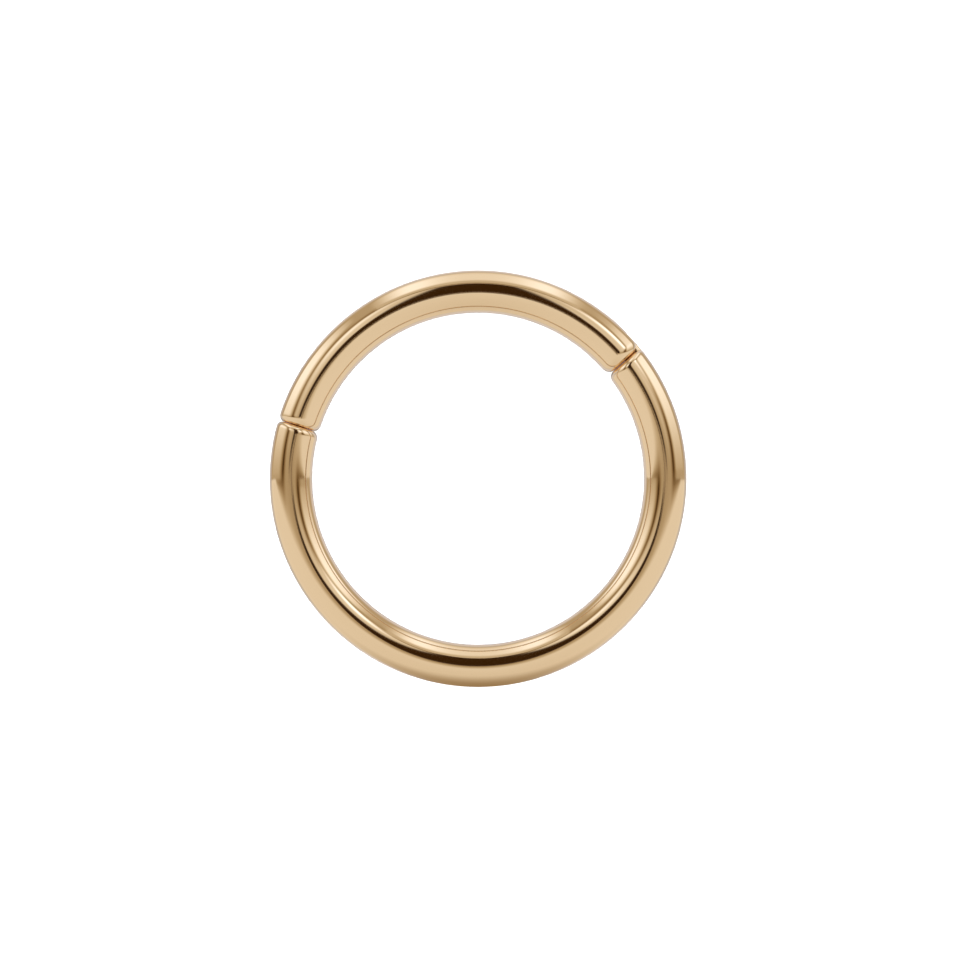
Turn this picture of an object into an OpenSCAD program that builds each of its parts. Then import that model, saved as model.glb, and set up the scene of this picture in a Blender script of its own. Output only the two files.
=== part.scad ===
// Hinged segment hoop for a piercing: a round wire bent to a circle and cut twice.
// The short arc turns on a pin and closes on a domed stud. The hoop lies on its side,
// with its middle on the Z axis and its lowest line at Z = 0. All sizes are in millimetres.

/* [Wire] */
// Diameter of the round wire
wire_d = 1.02; // [0.98:0.01:1.1]
// Inside diameter of the closed hoop
inner_d = 8; // [7:0.5:12]
// How far the rounding of a wire end reaches along the wire
rim_length = 0.2; // [0.16:0.01:0.22]
// How far the rounding of a wire end reaches across its face
rim_depth = 0.15; // [0.12:0.01:0.16]

/* [Seams] */
// Place of the hinge seam round the hoop, in degrees from +X
hinge_angle = 38.95; // [30:0.05:50]
// Lean of the hinge seam off the line to the hoop's middle, in degrees
hinge_lean = 2.7; // [0:0.1:3]
// Place of the closing seam round the hoop, in degrees from +X
catch_angle = 163.6; // [150:0.1:172]
// Lean of the closing seam, in degrees
catch_lean = -1.4; // [-3:0.1:0]
// Gap across each seam
seam_gap = 0.03; // [0.02:0.005:0.04]

/* [Hinge] */
// Diameter of the hinge pin
pin_d = 0.2; // [0.16:0.01:0.22]
// Running clearance round the pin
pin_clearance = 0.01; // [0.01:0.005:0.02]
// How far the pin lies outside the middle of the wire
pin_offset = 0.28; // [0.26:0.01:0.3]
// How far the pin reaches above the middle of the wire, under the unbroken front
pin_top = 0.27; // [0.22:0.01:0.28]
// Thickness of the tongue on the pin
tongue_t = 0.27; // [0.24:0.01:0.3]
// Gap round the tongue in its slot
slot_gap = 0.02; // [0.01:0.005:0.03]
// How far the tongue's outer edge is filed below the wire
tongue_recess = 0.012; // [0.005:0.001:0.02]
// Gap left between the open segment and the end face beside the tongue
open_gap = 0.01; // [0.01:0.005:0.02]

/* [Catch] */
// Diameter of the catch stud
stud_d = 0.4; // [0.3:0.02:0.44]
// Length of the stud's shank in the segment
stud_shank = 0.35; // [0.25:0.05:0.5]
// Height of the stud's dome above the segment's end face
dome_h = 0.1; // [0.07:0.01:0.11]
// Gap round the stud and in its dimple
stud_gap = 0.012; // [0.01:0.001:0.015]

/* [Hidden] */
$fn = 96;
gold = [0.89, 0.75, 0.56];
light_gold = [0.95, 0.84, 0.66];
ground_gold = [0.72, 0.62, 0.48];

wire_r = wire_d / 2;
ring_r = (inner_d + wire_d) / 2;    // from the hoop's middle to the middle of the wire
pin_r = pin_d / 2;
bore_r = pin_r + pin_clearance;
knuckle_r = wire_r - pin_offset;    // the tongue's round end and the segment's heel, about the pin
slot_r = knuckle_r + slot_gap;
pin_reach = knuckle_r + open_gap - seam_gap / 2;    // from the seam to the pin, along the wire
stud_r = stud_d / 2;
dome_r = (stud_r * stud_r + dome_h * dome_h) / (2 * dome_h);

// The rounding of a wire end is one arc from the wire's side to its face.
// It meets the side at side_angle and keeps to rim_length and rim_depth.
side_angle = 10;
chord = norm([rim_length, rim_depth]);
chord_angle = atan(rim_depth / rim_length);
rim_r = chord / (2 * sin(chord_angle - side_angle));
rim_x = wire_r - rim_r * cos(side_angle);
rim_y = -seam_gap / 2 - rim_length - rim_r * sin(side_angle);
rim_turn = rim_length / 2 / ring_r * 180 / PI;    // follows the bend of the wire over the rounding

room = 0.8;         // half the width of a cutter, which is wider than the wire
past_seam = 8;      // degrees by which an arc runs past its seam before it is cut
root = 0.5;         // how far the tongue runs back from the pin into the body

// The round wire, between two angles.
module wire_arc(from, to) {
    translate([0, 0, wire_r])
        rotate([0, 0, from])
            rotate_extrude(angle = to - from, $fn = 180)
                translate([ring_r, 0])
                    circle(r = wire_r);
}

// A seam's own frame: +X outwards, +Y counterclockwise along the wire, 0 at the wire's middle.
module at_seam(angle) {
    rotate([0, 0, angle])
        translate([ring_r, 0, wire_r])
            children();
}

// What is cut from a wire that comes from -Y: all beyond the face, and the rim's sharp edge.
module end_cut(lean) {
    rotate([0, 0, lean])
        translate([-room, -seam_gap / 2, -room])
            cube([2 * room, 2 * room, 2 * room]);
    rotate([0, 0, -rim_turn])
        rotate([-90, 0, 0])
            rotate_extrude()
                difference() {
                    translate([rim_x, rim_y])
                        square([room - rim_x, room]);
                    translate([rim_x, rim_y])
                        circle(r = rim_r);
                }
}

// A slab about the middle of the wire, from a corner (x, y), w across and l along the wire.
module strip(half_t, x, y, w, l) {
    translate([x, y, -half_t])
        cube([w, l, 2 * half_t]);
}

// The pin's axis, in a seam's frame.
module at_pin() {
    translate([pin_offset, pin_reach, 0])
        children();
}

// The tongue that leaves the body between the segment's cheeks, with a round end about the pin.
module tongue() {
    intersection() {
        at_seam(hinge_angle)
            rotate([0, 0, hinge_lean])
                at_pin() {
                    cylinder(r = knuckle_r, h = tongue_t, center = true);
                    strip(tongue_t / 2, -knuckle_r, -root, 2 * room, root);
                }
        cylinder(r = ring_r + wire_r - tongue_recess, h = 2 * wire_d);
    }
}

// The slot for the tongue: open towards the seam and outwards, so that the tongue can swing.
module slot() {
    half_t = tongue_t / 2 + slot_gap;
    cylinder(r = slot_r, h = 2 * half_t, center = true);
    strip(half_t, -slot_r, -room, 2 * room, room);
    strip(half_t, 0, -room, room, room + slot_r);
}

// The sharp outer corner of the segment's cheeks, cut round about the pin.
module heel_cut() {
    difference() {
        strip(room, 0, -room, room, room);
        cylinder(r = knuckle_r, h = 3 * room, center = true);
    }
}

// The hole for the pin is drilled from the back and stops under the front.
module pin_hole() {
    translate([0, 0, -room])
        cylinder(r = bore_r, h = room + pin_top + pin_clearance);
}

// The blind hole for the stud's shank.
module stud_hole() {
    rotate([90, 0, 0])
        cylinder(r = stud_r + stud_gap, h = seam_gap / 2 + stud_shank + stud_gap);
}

// The ball whose cap is the stud's dome, with a gap the ball that hollows the dimple.
module dome(gap) {
    translate([0, dome_h - dome_r - seam_gap / 2, 0])
        sphere(r = dome_r + gap);
}

// The long arc, with the tongue at its hinge end and the dimple at its closing end.
module hoop_body() {
    color(gold)
        difference() {
            wire_arc(catch_angle - past_seam, 360 + hinge_angle + past_seam);
            difference() {
                at_seam(hinge_angle)
                    end_cut(hinge_lean);
                tongue();
            }
            at_seam(catch_angle)
                mirror([0, 1, 0])
                    end_cut(-catch_lean);
            at_seam(hinge_angle)
                rotate([0, 0, hinge_lean])
                    at_pin()
                        cylinder(r = bore_r, h = wire_d, center = true);
            at_seam(catch_angle)
                rotate([0, 0, catch_lean])
                    dome(stud_gap);
        }
}

// The short arc that swings open about the pin.
module hinged_segment() {
    color(light_gold)
        difference() {
            wire_arc(hinge_angle - past_seam, catch_angle + past_seam);
            at_seam(hinge_angle) {
                mirror([0, 1, 0])
                    end_cut(-hinge_lean);
                rotate([0, 0, hinge_lean])
                    at_pin() {
                        slot();
                        heel_cut();
                        pin_hole();
                    }
            }
            at_seam(catch_angle) {
                end_cut(catch_lean);
                rotate([0, 0, catch_lean])
                    stud_hole();
            }
        }
}

// The pin is held by the cheeks and ends flush with the back of the wire.
module hinge_pin() {
    color(ground_gold)
        intersection() {
            at_seam(hinge_angle)
                rotate([0, 0, hinge_lean])
                    at_pin()
                        translate([0, 0, -room])
                            cylinder(r = pin_r, h = room + pin_top);
            wire_arc(hinge_angle - past_seam, hinge_angle + 2 * past_seam);
        }
}

// A plain round shank in the segment, with a dome that stands out of the end face.
module catch_stud() {
    color(ground_gold)
        at_seam(catch_angle)
            rotate([0, 0, catch_lean]) {
                translate([0, -seam_gap / 2, 0])
                    rotate([90, 0, 0])
                        cylinder(r = stud_r, h = stud_shank);
                intersection() {
                    dome(0);
                    translate([-room, -seam_gap / 2, -room])
                        cube(2 * room);
                }
            }
}

hoop_body();
hinged_segment();
hinge_pin();
catch_stud();
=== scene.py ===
import bmesh
import bpy
import math
from mathutils import Matrix


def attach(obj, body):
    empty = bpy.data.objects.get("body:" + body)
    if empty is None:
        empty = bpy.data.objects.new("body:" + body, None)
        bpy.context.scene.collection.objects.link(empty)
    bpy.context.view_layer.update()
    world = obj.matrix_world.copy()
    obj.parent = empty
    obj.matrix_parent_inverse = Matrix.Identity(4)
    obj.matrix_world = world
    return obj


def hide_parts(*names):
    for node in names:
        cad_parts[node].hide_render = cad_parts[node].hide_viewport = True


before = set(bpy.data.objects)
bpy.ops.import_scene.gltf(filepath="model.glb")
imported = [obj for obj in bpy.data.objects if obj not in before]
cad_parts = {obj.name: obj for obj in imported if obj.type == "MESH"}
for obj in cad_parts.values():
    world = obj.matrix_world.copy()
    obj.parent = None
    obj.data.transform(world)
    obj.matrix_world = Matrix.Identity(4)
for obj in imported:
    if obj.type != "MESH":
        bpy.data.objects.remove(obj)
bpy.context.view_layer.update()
scene = bpy.context.scene
print("frame loaded:", ", ".join(sorted(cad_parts)))

# Everything is modelled in millimetres and brought to metres at the end
metresPerMm = 0.001
turn = 2 * math.pi
mergeWithin = 0.00001          # points this close are one


# A node's output, with the sums that are written on it
class Signal:
    def __init__(self, bench, socket):
        self.bench = bench
        self.socket = socket

    def also(self, name):      # another output of the same node
        return Signal(self.bench, self.socket.node.outputs[name])

    def math(self, operation, *others):
        return self.bench.math(operation, self, *others)

    def __add__(self, other):
        return self.bench.math("ADD", self, other)

    def __radd__(self, other):
        return self.bench.math("ADD", other, self)

    def __sub__(self, other):
        return self.bench.math("SUBTRACT", self, other)

    def __rsub__(self, other):
        return self.bench.math("SUBTRACT", other, self)

    def __mul__(self, other):
        return self.bench.math("MULTIPLY", self, other)

    def __rmul__(self, other):
        return self.bench.math("MULTIPLY", other, self)

    def __truediv__(self, other):
        return self.bench.math("DIVIDE", self, other)

    def __rtruediv__(self, other):
        return self.bench.math("DIVIDE", other, self)

    def clamped(self):         # kept between 0 and 1
        return self.bench.add("ShaderNodeClamp", inputs={"Value": self})

    def rise(self, at, soft):  # a soft step from 0 to 1
        return self.bench.add("ShaderNodeMapRange", {"interpolation_type": "SMOOTHSTEP"}, {
            "Value": self, "From Min": at - soft / 2, "From Max": at + soft / 2})

    def between(self, low, high, softLow, softHigh):
        return self.rise(low, softLow) * (1 - self.rise(high, softHigh))

    def bell(self, middle, width):
        off = (self - middle) / width
        return (off * off * -1).math("EXPONENT")


# A node tree on the bench: every node of every tree comes from add
class Bench:
    def __init__(self, tree):
        self.tree = tree

    def add(self, kind, settings=None, inputs=None, output=0):
        node = self.tree.nodes.new(kind)
        for name, value in (settings or {}).items():
            setattr(node, name, value)
        for key, value in (inputs or {}).items():
            if isinstance(value, Signal):
                self.tree.links.new(value.socket, node.inputs[key])
            else:
                node.inputs[key].default_value = value
        return Signal(self, node.outputs[output]) if node.outputs else node

    def math(self, operation, *values):
        return self.add("ShaderNodeMath", {"operation": operation}, dict(enumerate(values)))


# Sizes that the pieces share, in millimetres and degrees. They are those of the CAD source,
# apart from the last two gap values, which shut the seams as closely as the photo shows
hoop = {
    "wireRadius": 0.51,
    "ringRadius": 4.51,
    "halfGap": 0.015,          # from a seam's middle to the body's face
    "shutGap": 0.008,          # left between the two faces when the hoop is shut
    "faceTilt": -0.025,        # slope of the faces off upright, so that no light falls through
    "hingeAngle": 38.95,
    "hingeLean": 2.7,
    "catchAngle": 163.6,
    "catchLean": -1.4,
}


# Camera
# The hoop lies on its side and the camera looks straight down on it
photoSide = 960                # pixels
lens = {
    "focalLength": 75,
    "sensor": 36,
    "hoopAcross": 416.6,       # outside diameter in the photo, in pixels
    "hoopMiddle": (478.15, 478.75),
    "clip": (0.001, 10),       # metres
}


def makeCamera():
    outside = 2 * (hoop["ringRadius"] + hoop["wireRadius"])
    mmPerPixel = outside / lens["hoopAcross"]
    frameWidth = photoSide * mmPerPixel
    distance = frameWidth * lens["focalLength"] / lens["sensor"]
    data = bpy.data.cameras.new("camera")
    data.lens = lens["focalLength"]
    data.sensor_width = lens["sensor"]
    data.clip_start, data.clip_end = lens["clip"]
    camera = bpy.data.objects.new("camera", data)
    camera.location = (
        (photoSide / 2 - lens["hoopMiddle"][0]) * mmPerPixel * metresPerMm,
        (lens["hoopMiddle"][1] - photoSide / 2) * mmPerPixel * metresPerMm,
        (distance + hoop["wireRadius"]) * metresPerMm,
    )
    scene.collection.objects.link(camera)
    scene.camera = camera


makeCamera()
print("camera placed")


# Studio light
# The studio is a light room round the hoop: a front wall behind the camera, a top, two side
# walls, and a pale table towards the bottom of the picture. A direction is looked up as
# across/ahead on the wall that it meets, so every wall is a plain rectangle with soft edges
lightRoom = {
    "faint": 0.01,             # brightness between the walls
    "wallStart": 0.03,         # a wall is met from this share of a direction on
    "redPower": 0.79,          # how the tone warms as the light dims
    "bluePower": 1.39,
    "front": {
        "across": (-0.61, 0.67), "acrossSoft": 0.49,
        "up": (0.07, 0.87), "upSoft": (0.55, 0.08),
        "low": 0.95, "high": 0.63, "brightening": 0.5,
    },
    "lamps": [                 # across, up, half width, half height, brightness
        (0.76, 0.76, 0.25, 0.31, 1.67),
        (-0.62, 0.61, 0.23, 0.29, 0.92),
    ],
    "top": {
        "half": 0.62, "halfSoft": 0.48,
        "up": (-0.74, 0.73), "upSoft": (1.15, 0.59), "level": 0.91,
        "tubeAcross": 0.35, "tubeWidth": 0.15, "tubes": 0.36,
    },
    "right": {
        "along": (0.03, 1.52), "alongSoft": (0.05, 0.49),
        "up": (-0.39, 0.8), "upSoft": (0.09, 0.56), "level": 0.12,
        "glowAlong": 0.65, "glowWidth": 0.59, "glow": 1.15,
    },
    "left": {
        "along": (0.0, 1.36), "alongSoft": (0.05, 0.33),
        "up": (-0.43, 0.8), "upSoft": (0.14, 0.89), "level": 0.12,
        "glowAlong": 0.63, "glowWidth": 0.58, "glow": 1.14,
    },
    "corners": {"level": 0.43, "from": 0.9, "soft": 0.53},
    "edge": {"level": 0.57, "from": 0.95, "soft": 0.2, "half": 0.6},
    "table": {
        "level": 0.82, "from": 0.09, "soft": 0.3,
        "dim": 0.1, "dimWidth": 0.56,
    },
    "seen": 0.99,              # what the camera sees past the floor's edge
    "bounces": 12,             # light is thrown to and fro many times in the seams
}


# Light of a brightness, warmer where it is dim
def toned(bench, level):
    return bench.add("ShaderNodeCombineColor", inputs={
        0: level.math("POWER", lightRoom["redPower"]),
        1: level,
        2: level.math("POWER", lightRoom["bluePower"])})


# The same tone for a brightness that is a plain number
def tonedColour(level):
    return (level ** lightRoom["redPower"], level, level ** lightRoom["bluePower"], 1)


# The front wall, with a lamp to either side
def lightFront(across, slope, facing):
    front = lightRoom["front"]
    higher = (slope / front["brightening"]).clamped()
    level = front["low"] + (front["high"] - front["low"]) * higher
    light = (level * facing * across.between(*front["across"], front["acrossSoft"], front["acrossSoft"])
             * slope.between(*front["up"], *front["upSoft"]))
    for lampAcross, lampUp, halfWidth, halfHeight, brightness in lightRoom["lamps"]:
        spread = across.bell(lampAcross, halfWidth) * slope.bell(lampUp, halfHeight)
        light = light + brightness * facing * spread
    return light


# The top, with a brighter tube to either side of its middle
def lightTop(fromMiddle, high, inFront):
    top = lightRoom["top"]
    level = top["level"] + top["tubes"] * fromMiddle.bell(top["tubeAcross"], top["tubeWidth"])
    return (level * inFront * (1 - fromMiddle.rise(top["half"], top["halfSoft"]))
            * high.between(*top["up"], *top["upSoft"]))


# A side wall, with a glow across it
def lightSide(side, toward, y, z):
    least = lightRoom["wallStart"]
    reached = toward.math("MAXIMUM", least)
    along, high = y / reached, z / reached
    level = side["level"] + side["glow"] * along.bell(side["glowAlong"], side["glowWidth"])
    wall = along.between(*side["along"], *side["alongSoft"]) * high.between(*side["up"], *side["upSoft"])
    return level * toward.math("GREATER_THAN", least) * wall


# The table, which dims a little straight below the hoop
def lightTable(x, y, slope):
    table = lightRoom["table"]
    level = table["level"] - table["dim"] * x.bell(0, table["dimWidth"]) * (0 - y).clamped()
    return level * (0 - slope).rise(table["from"], table["soft"])


def makeLightRoom():
    world = bpy.data.worlds.new("lightRoom")
    scene.world = world
    world.use_nodes = True
    world.node_tree.nodes.clear()
    bench = Bench(world.node_tree)
    direction = bench.add("ShaderNodeTexCoord", output="Generated")
    x = bench.add("ShaderNodeSeparateXYZ", inputs={0: direction})
    y, z = x.also("Y"), x.also("Z")
    least = lightRoom["wallStart"]
    ahead, above = z.math("MAXIMUM", least), y.math("MAXIMUM", least)
    facing, inFront = z.math("GREATER_THAN", least), y.math("GREATER_THAN", least)
    slope = y / ahead
    fromMiddle = (x / above).math("ABSOLUTE")
    light = lightFront(x / ahead, slope, facing) + lightTop(fromMiddle, z / above, inFront)
    light = light + lightSide(lightRoom["right"], x, y, z) + lightSide(lightRoom["left"], 0 - x, y, z)

    # The corners between the walls, and the edge between front and top, are never quite dark
    corners, edge = lightRoom["corners"], lightRoom["edge"]
    upper = y.math("GREATER_THAN", 0.0)
    fromAxis = z.math("ARCCOSINE")
    light = light.math("MAXIMUM", corners["level"] * upper
                       * fromAxis.rise(corners["from"], corners["soft"]))
    light = light.math("MAXIMUM", edge["level"] * upper * facing * slope.rise(edge["from"], edge["soft"])
                       * fromMiddle.math("LESS_THAN", edge["half"]))
    light = (light + lightTable(x, y, slope)).math("MAXIMUM", lightRoom["faint"])

    lit = bench.add("ShaderNodeBackground", inputs={"Color": toned(bench, light)})
    plain = bench.add("ShaderNodeBackground", inputs={
        "Color": (1, 1, 1, 1), "Strength": lightRoom["seen"]})
    seen = bench.add("ShaderNodeLightPath", output="Is Camera Ray")
    both = bench.add("ShaderNodeMixShader", inputs={0: seen, 1: lit, 2: plain})
    bench.add("ShaderNodeOutputWorld", inputs={"Surface": both})


makeLightRoom()
scene.view_settings.view_transform = "Standard"
scene.cycles.glossy_bounces = lightRoom["bounces"]


def plainObject(name, data):
    made = bpy.data.objects.new(name, data)
    scene.collection.objects.link(made)
    return made


# A rectangle's corners, in order
def rectangle(low, high):
    return (low[0], low[1]), (high[0], low[1]), (high[0], high[1]), (low[0], high[1])


# One flat face through corners given in millimetres
def sheetMesh(name, corners):
    mesh = bpy.data.meshes.new(name)
    mesh.from_pydata(corners, [], [tuple(range(len(corners)))])
    mesh.transform(Matrix.Scale(metresPerMm, 4))
    return mesh


def levelSheet(name, low, high, height):
    return sheetMesh(name, [(x, y, height) for x, y in rectangle(low, high)])


def newMaterial(name):
    material = bpy.data.materials.new(name)
    material.use_nodes = True
    material.node_tree.nodes.clear()
    return material, Bench(material.node_tree)


# Places on an object along the axes that are named, in millimetres
def placeInMm(bench, axes):
    place = bench.add("ShaderNodeTexCoord", output="Object")
    spot = bench.add("ShaderNodeSeparateXYZ", inputs={0: place})
    return [spot.also(axis) / metresPerMm for axis in axes]


# A colour between two others, which a colour mix takes as its inputs 6 and 7
def blended(bench, share, first, second):
    return bench.add("ShaderNodeMix", {"data_type": "RGBA"},
                     {"Factor": share, 6: first, 7: second}, output=2)


# A glowing card that only polished metal sees, soft at its edges
def hangCard(name, mesh, shade):
    card = plainObject(name, mesh)
    material, bench = newMaterial(name)
    mask, colour = shade(bench)
    glow = bench.add("ShaderNodeBsdfPrincipled", inputs={
        "Base Color": (0, 0, 0, 1), "Roughness": 1.0, "Specular IOR Level": 0.0,
        "Emission Color": colour, "Emission Strength": 1.0})
    clear = bench.add("ShaderNodeBsdfTransparent")
    both = bench.add("ShaderNodeMixShader", inputs={0: mask, 1: clear, 2: glow})
    bench.add("ShaderNodeOutputMaterial", inputs={"Surface": both})
    card.data.materials.append(material)
    card.visible_camera = False
    card.visible_diffuse = False
    card.visible_shadow = False


# Dark cards stand round the camera: a tall one, its foot below the lens, and a wide one
# farther off. The foot widens up the picture and leaves a narrow slot clear
darkCards = {
    "wideDarkCard": {
        "height": 62.51, "across": (-13.7, 12.7), "acrossSoft": 6.0,
        "along": (0.9, 15.4), "alongSoft": (1.2, 1.1), "level": 0.011,
    },
    "tallDarkCard": {
        "height": 38.51, "across": (-8.0, 7.7), "acrossSoft": 4.0,
        "along": (5.6, 35.4), "alongSoft": (5.3, 1.9), "level": 0.018,
    },
    "footDarkCard": {
        "height": 38.3, "across": (-1.4, 1.4), "acrossSoft": 1.4,
        "along": (-3.0, 8.0), "alongSoft": (4.5, 2.0), "level": 0.018,
        "widening": 0.1, "widenFrom": 2.0, "slot": (-0.2, 0.2), "slotSoft": 0.15,
    },
}


def hangDarkCard(name, card):
    def shade(bench):
        x, y = placeInMm(bench, "XY")
        low, high = card["across"]
        if "widening" in card:
            high = (high + card["widening"] * (y - card["widenFrom"])).math("MAXIMUM", 0.0)
            low = 0 - high
        mask = (x.between(low, high, card["acrossSoft"], card["acrossSoft"])
                * y.between(*card["along"], *card["alongSoft"]))
        if "slot" in card:
            mask = mask * (1 - y.between(*card["slot"], card["slotSoft"], card["slotSoft"]))
        return mask, tonedColour(card["level"])

    room = max(card["acrossSoft"], *card["alongSoft"])
    wider = card.get("widening", 0) * (card["along"][1] + room - card.get("widenFrom", 0))
    low = (card["across"][0] - room - wider, card["along"][0] - room)
    high = (card["across"][1] + room + wider, card["along"][1] + room)
    hangCard(name, levelSheet(name, low, high, card["height"]), shade)


for cardName, darkCard in darkCards.items():
    hangDarkCard(cardName, darkCard)

# The white card under the hoop is a ring a little wider than the wire. It carries a painted
# shadow below the wire, and painted shade that makes it dimmer to the sides
whiteCard = {
    "below": 0.002,            # clear of the hoop's lowest line
    "half": 10.0,
    "colour": (0.74, 0.74, 0.82, 1),
    "inner": 3.18, "outer": 5.93, "soft": 0.9,
    # painted shade: the card dims by this share towards the sides
    "sideFrom": 4.43, "sideSoft": 0.69, "sideShade": 0.21,
    # painted shadow: the band of radii below the wire is darkened by this share
    "wireShadowBand": (3.82, 5.28), "wireShadowSoft": 0.1, "wireShadowDepth": 0.55,
}


def shadeWhiteCard(bench):
    x, y = placeInMm(bench, "XY")
    card = whiteCard
    out = (x * x + y * y).math("SQRT")
    mask = out.between(card["inner"], card["outer"], card["soft"], card["soft"])
    # painted shadow of the wire, in a band below it
    under = out.between(*card["wireShadowBand"], card["wireShadowSoft"], card["wireShadowSoft"])
    # painted shade towards the sides
    side = x.math("ABSOLUTE").rise(card["sideFrom"], card["sideSoft"])
    level = (1 - card["sideShade"] * side) * (1 - card["wireShadowDepth"] * under)
    return mask, blended(bench, level, (0, 0, 0, 1), card["colour"])


def layWhiteCard():
    half = whiteCard["half"]
    mesh = levelSheet("whiteCard", (-half, -half), (half, half), -whiteCard["below"])
    hangCard("whiteCard", mesh, shadeWhiteCard)


layWhiteCard()

# A small dim card stands against the bottom of the hoop, and browns the reflections there: it is a
# painted contact shadow, which only polished metal sees
contactShadowCard = {
    "at": -5.12,
    "halfWidth": 2.57, "reach": 7.71,
    "top": 1.0, "topSoft": 0.76, "level": 0.27,
}


def shadeStandingCard(bench):
    x, z = placeInMm(bench, "XZ")
    card = contactShadowCard
    # painted shadow: darkest by the floor below the hoop, fading upwards and to the sides
    mask = x.bell(0, card["halfWidth"]) * (1 - z.rise(card["top"], card["topSoft"]))
    return mask, tonedColour(card["level"])


def standCard():
    card = contactShadowCard
    corners = rectangle((-card["reach"], 0), (card["reach"], card["top"] + card["topSoft"]))
    mesh = sheetMesh("contactShadowCard", [(x, card["at"], z) for x, z in corners])
    hangCard("contactShadowCard", mesh, shadeStandingCard)


standCard()

# The floor is pale matt paper under a soft overhead light. Polished metal sees the white
# card instead of them
floorTable = {
    "half": 600.0,             # millimetres from its middle to an edge
    "below": 0.004,            # clear of the hoop's lowest line
    "colour": (0.9, 0.9, 0.9, 1),
    "other": (0.86, 0.86, 0.855, 1),
    "roughness": 0.9,
    "grainScale": 9000.0,
    "lightStrength": 7.8,
    "lightWidth": 160.0,       # degrees
}


def layFloor():
    half = floorTable["half"]
    floor = plainObject("floor", levelSheet("floor", (-half, -half), (half, half), -floorTable["below"]))
    material, bench = newMaterial("paleFloor")
    place = bench.add("ShaderNodeTexCoord", output="Object")
    grain = bench.add("ShaderNodeTexNoise", inputs={"Vector": place, "Scale": floorTable["grainScale"]})
    tone = blended(bench, grain, floorTable["colour"], floorTable["other"])
    paper = bench.add("ShaderNodeBsdfPrincipled", inputs={
        "Base Color": tone, "Roughness": floorTable["roughness"]})
    bench.add("ShaderNodeOutputMaterial", inputs={"Surface": paper})
    floor.data.materials.append(material)
    floor.visible_glossy = False


def hangOverheadLight():
    data = bpy.data.lights.new("overheadLight", "SUN")
    data.energy = floorTable["lightStrength"]
    data.angle = math.radians(floorTable["lightWidth"])
    light = plainObject("overheadLight", data)
    light.visible_glossy = False


layFloor()
hangOverheadLight()
print("light room, cards and floor made")


# Finishes
noiseMiddle = 0.5
polishedGold = {
    "colour": (0.882, 0.68, 0.447, 1),
    "paler": (0.882, 0.69, 0.465, 1),
    "colourScale": 350.0,
    "roughness": 0.075,
    "cloud": 0.04,             # roughness that drifts over the surface
    "cloudScale": 900.0,
    "cloudDetail": 2.0,
    "draw": 0.02,              # roughness of the fine lines along the wire
    "drawScale": 26.0,
    "drawAlong": 120.0,
    "drawDetail": 3.0,
    "reliefDepth": 0.00000006,     # metres
    "reliefShare": 1.0,
}
groundGold = {
    "colour": (0.84, 0.62, 0.38, 1),
    "paler": (0.9, 0.69, 0.44, 1),
    "roughness": 0.17,
    "scatter": 0.08,
    "lineScale": (60000.0, 2500.0, 60000.0),
    "lineDetail": 4.0,
    "reliefDepth": 0.0000002,      # metres
    "reliefShare": 0.5,
}


# Metal whose colour, roughness and relief follow what is drawn on it
def makeMetal(bench, finish, drift, roughness, height):
    relief = bench.add("ShaderNodeBump", inputs={
        "Height": height, "Distance": finish["reliefDepth"], "Strength": finish["reliefShare"]})
    metal = bench.add("ShaderNodeBsdfPrincipled", inputs={
        "Base Color": blended(bench, drift, finish["colour"], finish["paler"]),
        "Metallic": 1.0, "Roughness": roughness, "Normal": relief})
    bench.add("ShaderNodeOutputMaterial", inputs={"Surface": metal})


def makePolishedGold():
    finish = polishedGold
    material, bench = newMaterial("polishedGold")
    place = bench.add("ShaderNodeTexCoord", output="Object")
    x = bench.add("ShaderNodeSeparateXYZ", inputs={0: place})
    y, z = x.also("Y"), x.also("Z")
    outward = (x * x + y * y).math("SQRT") - hoop["ringRadius"] * metresPerMm
    upward = z - hoop["wireRadius"] * metresPerMm
    girth = upward.math("ARCTAN2", outward)      # round the wire's section
    lines = bench.add("ShaderNodeCombineXYZ", inputs={
        0: girth.math("COSINE") * finish["drawScale"] + x * finish["drawAlong"],
        1: girth.math("SINE") * finish["drawScale"] + y * finish["drawAlong"],
    })
    drawn = bench.add("ShaderNodeTexNoise", inputs={
        "Vector": lines, "Scale": 1.0, "Detail": finish["drawDetail"]})
    cloud = bench.add("ShaderNodeTexNoise", inputs={
        "Vector": place, "Scale": finish["cloudScale"], "Detail": finish["cloudDetail"]})
    drift = bench.add("ShaderNodeTexNoise", inputs={"Vector": place, "Scale": finish["colourScale"]})
    roughness = (finish["roughness"] + (cloud - noiseMiddle) * finish["cloud"]
                 + (drawn - noiseMiddle) * finish["draw"])
    makeMetal(bench, finish, drift, roughness, drawn)
    return material


def makeGroundGold():
    finish = groundGold
    material, bench = newMaterial("groundGold")
    place = bench.add("ShaderNodeTexCoord", output="Object")
    stretched = bench.add("ShaderNodeMapping", inputs={"Vector": place, "Scale": finish["lineScale"]})
    lines = bench.add("ShaderNodeTexNoise", inputs={
        "Vector": stretched, "Scale": 1.0, "Detail": finish["lineDetail"]})
    roughness = finish["roughness"] + (lines - noiseMiddle) * finish["scatter"]
    makeMetal(bench, finish, lines, roughness, lines)
    return material


polished = makePolishedGold()
ground = makeGroundGold()
polishedIndex, groundIndex = 0, 1      # places of the two finishes on every mesh
print("finishes made")


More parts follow.
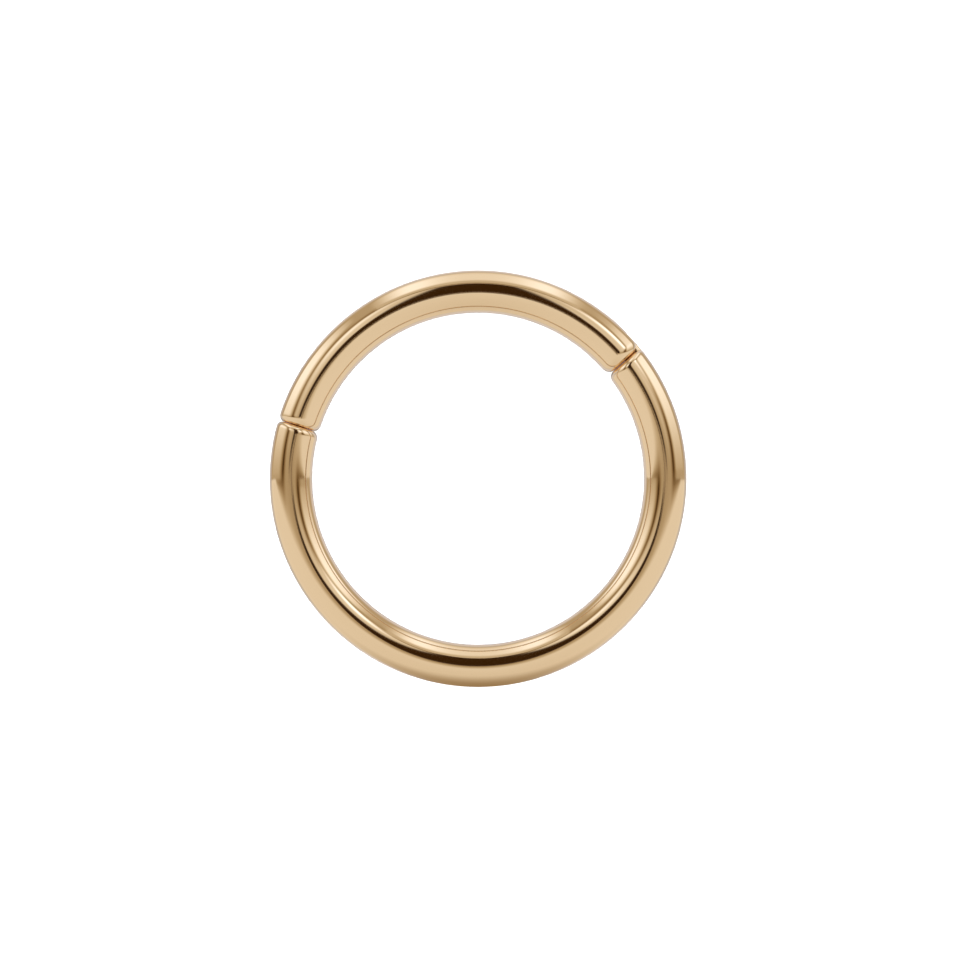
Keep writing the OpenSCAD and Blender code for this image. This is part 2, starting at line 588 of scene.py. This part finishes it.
# Wire with rounded ends
# One tree makes both arcs. Its rows run from the middle of the starting face, over the
# rounded rim and along the wire, to the middle of the other face
wireInputs = [
    ("Ring radius", "NodeSocketFloat"),
    ("Wire radius", "NodeSocketFloat"),
    ("Half gap", "NodeSocketFloat"),
    ("Face tilt", "NodeSocketFloat"),
    ("Start angle", "NodeSocketFloat"),
    ("Start lean", "NodeSocketFloat"),
    ("Start rim length outside", "NodeSocketFloat"),
    ("Start rim length inside", "NodeSocketFloat"),
    ("Start rim depth outside", "NodeSocketFloat"),
    ("Start rim depth inside", "NodeSocketFloat"),
    ("End angle", "NodeSocketFloat"),
    ("End lean", "NodeSocketFloat"),
    ("End rim length outside", "NodeSocketFloat"),
    ("End rim length inside", "NodeSocketFloat"),
    ("End rim depth outside", "NodeSocketFloat"),
    ("End rim depth inside", "NodeSocketFloat"),
    ("Steps along", "NodeSocketInt"),
    ("Steps around", "NodeSocketInt"),
    ("Rim steps", "NodeSocketInt"),
    ("Face steps", "NodeSocketInt"),
]


def makeWireTree():
    tree = bpy.data.node_groups.new("roundEndedWire", "GeometryNodeTree")
    for name, kind in wireInputs:
        tree.interface.new_socket(name, in_out="INPUT", socket_type=kind)
    tree.interface.new_socket("Geometry", in_out="OUTPUT", socket_type="NodeSocketGeometry")
    bench = Bench(tree)
    given = bench.add("NodeGroupInput")
    ring, wire, gap = given.also("Ring radius"), given.also("Wire radius"), given.also("Half gap")
    faceSteps, rimSteps = given.also("Face steps"), given.also("Rim steps")
    rows = given.also("Steps along") + 2 * (faceSteps + rimSteps)
    grid = bench.add("GeometryNodeMeshGrid", inputs={
        "Size X": 1.0, "Size Y": 1.0,
        "Vertices X": rows + 1, "Vertices Y": given.also("Steps around") + 1})
    # The grid is 1 long and 1 wide, about its middle
    place = bench.add("ShaderNodeSeparateXYZ", inputs={0: bench.add("GeometryNodeInputPosition")})
    row = ((place + 0.5) * rows).math("ROUND")
    girth = (place.also("Y") + 0.5) * turn
    outerShare = (girth.math("COSINE") + 1) / 2

    # How far out from the wire's middle line a row is, and how far back from the face
    def oneEnd(name, fromEnd):
        def rim(what):
            inside = given.also(f"{name} rim {what} inside")
            return inside + (given.also(f"{name} rim {what} outside") - inside) * outerShare

        faceShare = (fromEnd / faceSteps).clamped()
        rounding = ((fromEnd - faceSteps) / rimSteps).clamped() * (turn / 4)
        depth = rim("depth")
        out = faceShare * (wire - depth) + depth * rounding.math("SINE")
        back = rim("length") * (1 - rounding.math("COSINE"))
        return out, back

    fromStart, fromEnd = row, rows - row
    startOut, startBack = oneEnd("Start", fromStart)
    endOut, endBack = oneEnd("End", fromEnd)
    out = startOut.math("MINIMUM", endOut)
    reach = ring + out * girth.math("COSINE")
    height = out * girth.math("SINE")

    # Where round the hoop a face stands
    def facePlace(name, side):
        lean = given.also(f"{name} lean")
        across = (gap * side + given.also("Face tilt") * height - ring * lean.math("SINE")) / reach
        return given.also(f"{name} angle") + lean + across.math("ARCSINE")

    startPlace = facePlace("Start", 1) + startBack / reach
    endPlace = facePlace("End", -1) - endBack / reach
    share = ((row - faceSteps - rimSteps) / given.also("Steps along")).clamped()
    around = startPlace + (endPlace - startPlace) * share
    spot = bench.add("ShaderNodeCombineXYZ", inputs={
        0: reach * around.math("COSINE"),
        1: reach * around.math("SINE"),
        2: wire + height})
    shaped = bench.add("GeometryNodeSetPosition", inputs={"Geometry": grid, "Position": spot})
    closed = bench.add("GeometryNodeMergeByDistance", inputs={
        "Geometry": shaped, "Distance": mergeWithin})
    smooth = bench.add("GeometryNodeSetShadeSmooth", inputs={"Geometry": closed})
    real = bench.add("GeometryNodeRealizeInstances", inputs={"Geometry": smooth})
    gilded = bench.add("GeometryNodeSetMaterial", inputs={"Geometry": real, "Material": polished})
    bench.add("NodeGroupOutput", inputs={0: gilded})
    return tree


wireTree = makeWireTree()


# An evaluated object as a plain mesh object
def settled(source, name):
    shown = source.evaluated_get(bpy.context.evaluated_depsgraph_get())
    mesh = bpy.data.meshes.new_from_object(shown)
    mesh.name = name
    bpy.data.objects.remove(source)
    return plainObject(name, mesh)


def bendWire(name, sizes):
    source = plainObject(name + "Source", bpy.data.meshes.new(name))
    modifier = source.modifiers.new("wire", "NODES")
    modifier.node_group = wireTree
    known = {item.name: item.identifier
             for item in wireTree.interface.items_tree if item.in_out == "INPUT"}
    shared = {
        "Ring radius": hoop["ringRadius"],
        "Wire radius": hoop["wireRadius"],
        "Half gap": hoop["halfGap"],
        "Face tilt": hoop["faceTilt"],
    }
    for label, value in {**shared, **sizes}.items():
        modifier[known[label]] = value
    return settled(source, name)


def addFinishes(mesh):
    mesh.materials.append(polished)
    mesh.materials.append(ground)


# A cutter or an added part, made by a function that fills a bmesh, and placed by a matrix
def solid(name, fill, place, finishIndex=groundIndex):
    shape = bmesh.new()
    fill(shape)
    bmesh.ops.recalc_face_normals(shape, faces=shape.faces[:])
    for face in shape.faces:
        face.material_index = finishIndex
    mesh = bpy.data.meshes.new(name)
    shape.to_mesh(mesh)
    shape.free()
    mesh.transform(place)
    addFinishes(mesh)
    return plainObject(name, mesh)


def rod(radius, low, high, sides=96):
    def fill(shape):
        bmesh.ops.create_cone(shape, cap_ends=True, segments=sides, radius1=radius, radius2=radius,
                              depth=high - low, matrix=Matrix.Translation((0, 0, (low + high) / 2)))
    return fill


def block(low, high):
    def fill(shape):
        size = [end - start for start, end in zip(low, high)]
        middle = [(end + start) / 2 for start, end in zip(low, high)]
        place = Matrix.Translation(middle) @ Matrix.Diagonal((*size, 1))
        bmesh.ops.create_cube(shape, size=1, matrix=place)
    return fill


# A turned shape from its profile, out and up. It is built ring by ring, so that its faces
# come in the same order each time, and a ring on the axis is one point
def turned(profile, sides):
    def fill(shape):
        rings = []
        for out, up in profile:
            angles = [turn * step / sides for step in range(sides if out > 0 else 1)]
            rings.append([shape.verts.new((out * math.cos(angle), out * math.sin(angle), up))
                          for angle in angles])
        for ring, nextRing in zip(rings, rings[1:]):
            for step in range(sides):
                corners = [ring[step % len(ring)], ring[(step + 1) % len(ring)],
                           nextRing[(step + 1) % len(nextRing)], nextRing[step % len(nextRing)]]
                shape.faces.new(list(dict.fromkeys(corners)))
    return fill


# A drum whose outer edges are rounded
def roundedDrum(radius, half, rounding, sides=900, steps=12):
    corner = []
    for step in range(steps + 1):
        angle = turn / 4 * step / steps
        corner.append((radius - rounding + rounding * math.sin(angle),
                       half - rounding + rounding * math.cos(angle)))
    profile = [(0, half)] + corner + [(out, -up) for out, up in reversed(corner)] + [(0, -half)]
    return turned(profile, sides)


def ball(radius, rings=64):
    angles = [turn / 2 * step / rings for step in range(1, rings)]
    profile = [(radius * math.sin(angle), radius * math.cos(angle)) for angle in angles]
    return turned([(0, radius)] + profile + [(0, -radius)], 2 * rings)


def combine(base, operation, other):
    modifier = base.modifiers.new(operation.lower(), "BOOLEAN")
    modifier.operation = operation
    modifier.solver = "EXACT"
    modifier.object = other
    name = base.name
    base.name = name + "Before"
    made = settled(base, name)
    bpy.data.objects.remove(other)
    return made


def seamFrame(angle, lean):
    return (Matrix.Rotation(math.radians(angle), 4, "Z")
            @ Matrix.Translation((hoop["ringRadius"], 0, hoop["wireRadius"]))
            @ Matrix.Rotation(math.radians(lean), 4, "Z"))


# What the pieces share at the hinge and at the catch, in millimetres
hinge = {
    "pinRadius": 0.1,
    "boreRadius": 0.11,
    "pinOffset": 0.28,
    "pinReach": 0.225,
    "pinTop": 0.27,            # above the middle of the wire
    "knuckleRadius": 0.23,
    "slotRadius": 0.25,
    "tongueHalf": 0.135,
    "slotHalf": 0.155,
    "tongueRecess": 0.012,
    "tongueRounding": 0.11,    # of its outer edges
    "root": 0.5,               # how far the tongue runs back into the body
    "room": 0.8,               # cutters reach this far, past the wire
    "clear": 0.003,            # keeps the faces of a cutter off the faces that it cuts
}
catch = {
    "studRadius": 0.2,
    "studShank": 0.35,
    "domeHeight": 0.1,
    "gap": 0.012,
    "past": 0.02,              # how far the hole's cutter stands out of the face
    "sides": 64,
    "domeSteps": 16,
}
hingeFrame = seamFrame(hoop["hingeAngle"], hoop["hingeLean"])
catchFrame = seamFrame(hoop["catchAngle"], hoop["catchLean"])
pinFrame = hingeFrame @ Matrix.Translation((hinge["pinOffset"], hinge["pinReach"], 0))
domeRadius = (catch["studRadius"] ** 2 + catch["domeHeight"] ** 2) / (2 * catch["domeHeight"])

sharpFrom = 32                 # degrees between two faces


# Sharp edges where cut faces meet, smooth everywhere else, and then to metres
def finishPiece(piece):
    mesh = piece.data
    mesh.materials.clear()
    addFinishes(mesh)
    mesh.polygons.foreach_set("use_smooth", [True] * len(mesh.polygons))
    mesh.set_sharp_from_angle(angle=math.radians(sharpFrom))
    mesh.transform(Matrix.Scale(metresPerMm, 4))
    mesh.update()
    return piece


# Body: the long arc, from the closing seam round to the hinge. Its tongue is joined to the
# end, and the pin's hole and the stud's dimple are cut
bodyWire = {
    "Start angle": math.radians(hoop["catchAngle"]),
    "Start lean": math.radians(hoop["catchLean"]),
    "Start rim length outside": 0.15, "Start rim length inside": 0.19,
    "Start rim depth outside": 0.135, "Start rim depth inside": 0.145,
    "End angle": math.radians(360 + hoop["hingeAngle"]),
    "End lean": math.radians(hoop["hingeLean"]),
    "End rim length outside": 0.15, "End rim length inside": 0.17,
    "End rim depth outside": 0.15, "End rim depth inside": 0.165,
    "Steps along": 560, "Steps around": 112, "Rim steps": 14, "Face steps": 6,
}


def makeBody():
    body = bendWire("hoopBody", bodyWire)
    body.data.materials.append(ground)
    half, radius = hinge["tongueHalf"], hinge["knuckleRadius"]
    slab = block((-radius, -hinge["root"], -half), (hinge["room"], 0, half))
    tongue = solid("tongue", slab, pinFrame)
    tongue = combine(tongue, "UNION", solid("knuckle", rod(radius, -half, half), pinFrame))
    outer = hoop["ringRadius"] + hoop["wireRadius"] - hinge["tongueRecess"]
    drum = solid("drum", roundedDrum(outer, half + hinge["clear"], hinge["tongueRounding"]),
                 Matrix.Translation((0, 0, hoop["wireRadius"])), polishedIndex)
    tongue = combine(tongue, "INTERSECT", drum)
    body = combine(body, "UNION", tongue)
    bore = solid("bore", rod(hinge["boreRadius"], -hinge["room"], hinge["room"]), pinFrame)
    body = combine(body, "DIFFERENCE", bore)
    middle = Matrix.Translation((0, catch["domeHeight"] - domeRadius - hoop["halfGap"], 0))
    dimple = solid("dimple", ball(domeRadius + catch["gap"]), catchFrame @ middle)
    body = combine(body, "DIFFERENCE", dimple)
    return finishPiece(body)


# Segment: the short arc, from the hinge to the closing seam, slotted for the tongue and
# drilled for the pin and the stud
segmentWire = {
    "Start angle": math.radians(hoop["hingeAngle"]),
    "Start lean": math.radians(hoop["hingeLean"]),
    "Start rim length outside": 0.23, "Start rim length inside": 0.25,
    "Start rim depth outside": 0.2, "Start rim depth inside": 0.17,
    "End angle": math.radians(hoop["catchAngle"]),
    "End lean": math.radians(hoop["catchLean"]),
    "End rim length outside": 0.18, "End rim length inside": 0.2,
    "End rim depth outside": 0.135, "End rim depth inside": 0.145,
    "Steps along": 300, "Steps around": 112, "Rim steps": 14, "Face steps": 6,
}


def makeSegment():
    segment = bendWire("hingedSegment", {**segmentWire, "Half gap": hoop["shutGap"] - hoop["halfGap"]})
    segment.data.materials.append(ground)
    half, room, slotRadius = hinge["slotHalf"], hinge["room"], hinge["slotRadius"]
    holeTop = hinge["pinTop"] + hinge["boreRadius"] - hinge["pinRadius"]
    studHole = rod(catch["studRadius"] + catch["gap"], -hoop["halfGap"] - catch["past"],
                   hoop["halfGap"] + catch["studShank"] + catch["gap"])
    cutters = [
        ("slotEnd", rod(slotRadius, -half, half), pinFrame),
        ("slotMouth", block((-slotRadius, -room, -half), (room, 0, half)), pinFrame),
        ("slotSide", block((0, -room, -half), (room, slotRadius, half)), pinFrame),
        ("pinHole", rod(hinge["boreRadius"], -room, holeTop), pinFrame),
        ("studHole", studHole, catchFrame @ Matrix.Rotation(turn / 4, 4, "X")),
    ]
    for name, fill, place in cutters:
        segment = combine(segment, "DIFFERENCE", solid(name, fill, place))
    return finishPiece(segment)


# Pin: a rod, trimmed flush with the back of the wire by a wire that is a little thinner and
# has next to no rounding
pinShape = {
    "sides": 64,
    "under": 0.002,            # how far the trimmed end stays inside the wire
    "trimFrom": 20, "trimTo": 60,      # degrees round the hoop
    "trimRim": 0.001,
    "trimAlong": 200, "trimAround": 192,
}


def bendTrimWire():
    under = pinShape["under"]
    sizes = {
        "Wire radius": hoop["wireRadius"] - under,
        "Face tilt": 0.0,
        "Start angle": math.radians(pinShape["trimFrom"]), "Start lean": 0.0,
        "End angle": math.radians(pinShape["trimTo"]), "End lean": 0.0,
        "Steps along": pinShape["trimAlong"], "Steps around": pinShape["trimAround"],
        "Rim steps": 1, "Face steps": 1,
    }
    for end in ("Start", "End"):
        for side in ("outside", "inside"):
            sizes[f"{end} rim length {side}"] = pinShape["trimRim"]
            sizes[f"{end} rim depth {side}"] = pinShape["trimRim"]
    wire = bendWire("trimWire", sizes)
    wire.data.transform(Matrix.Translation((0, 0, under)))
    wire.data.materials.clear()
    addFinishes(wire.data)
    return wire


def makePin():
    length = rod(hinge["pinRadius"], -hinge["room"], hinge["pinTop"], pinShape["sides"])
    pin = solid("hingePin", length, pinFrame)
    return finishPiece(combine(pin, "INTERSECT", bendTrimWire()))


# Stud: a shank and a dome, turned on one profile
def makeStud():
    shank, radius, top = catch["studShank"], catch["studRadius"], catch["domeHeight"]
    profile = [(0, -shank), (radius, -shank)]
    steps = catch["domeSteps"]
    widest = math.asin(radius / domeRadius)
    for step in range(steps + 1):
        angle = widest * (1 - step / steps)
        profile.append((domeRadius * math.sin(angle), top - domeRadius * (1 - math.cos(angle))))
    upright = Matrix.Translation((0, -hoop["halfGap"], 0)) @ Matrix.Rotation(-turn / 4, 4, "X")
    return finishPiece(solid("catchStud", turned(profile, catch["sides"]), catchFrame @ upright))


for maker, node, body, finish in (
    (makeBody, "hoop_body", "hoop", "polished_gold"),
    (makeSegment, "hinged_segment", "segment", "polished_gold"),
    (makePin, "hinge_pin", "segment", "fine_ground_gold"),
    (makeStud, "catch_stud", "segment", "fine_ground_gold"),
):
    piece = maker()
    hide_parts(node)
    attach(piece, body)
    print(piece.name, "made,", len(piece.data.polygons), "faces")
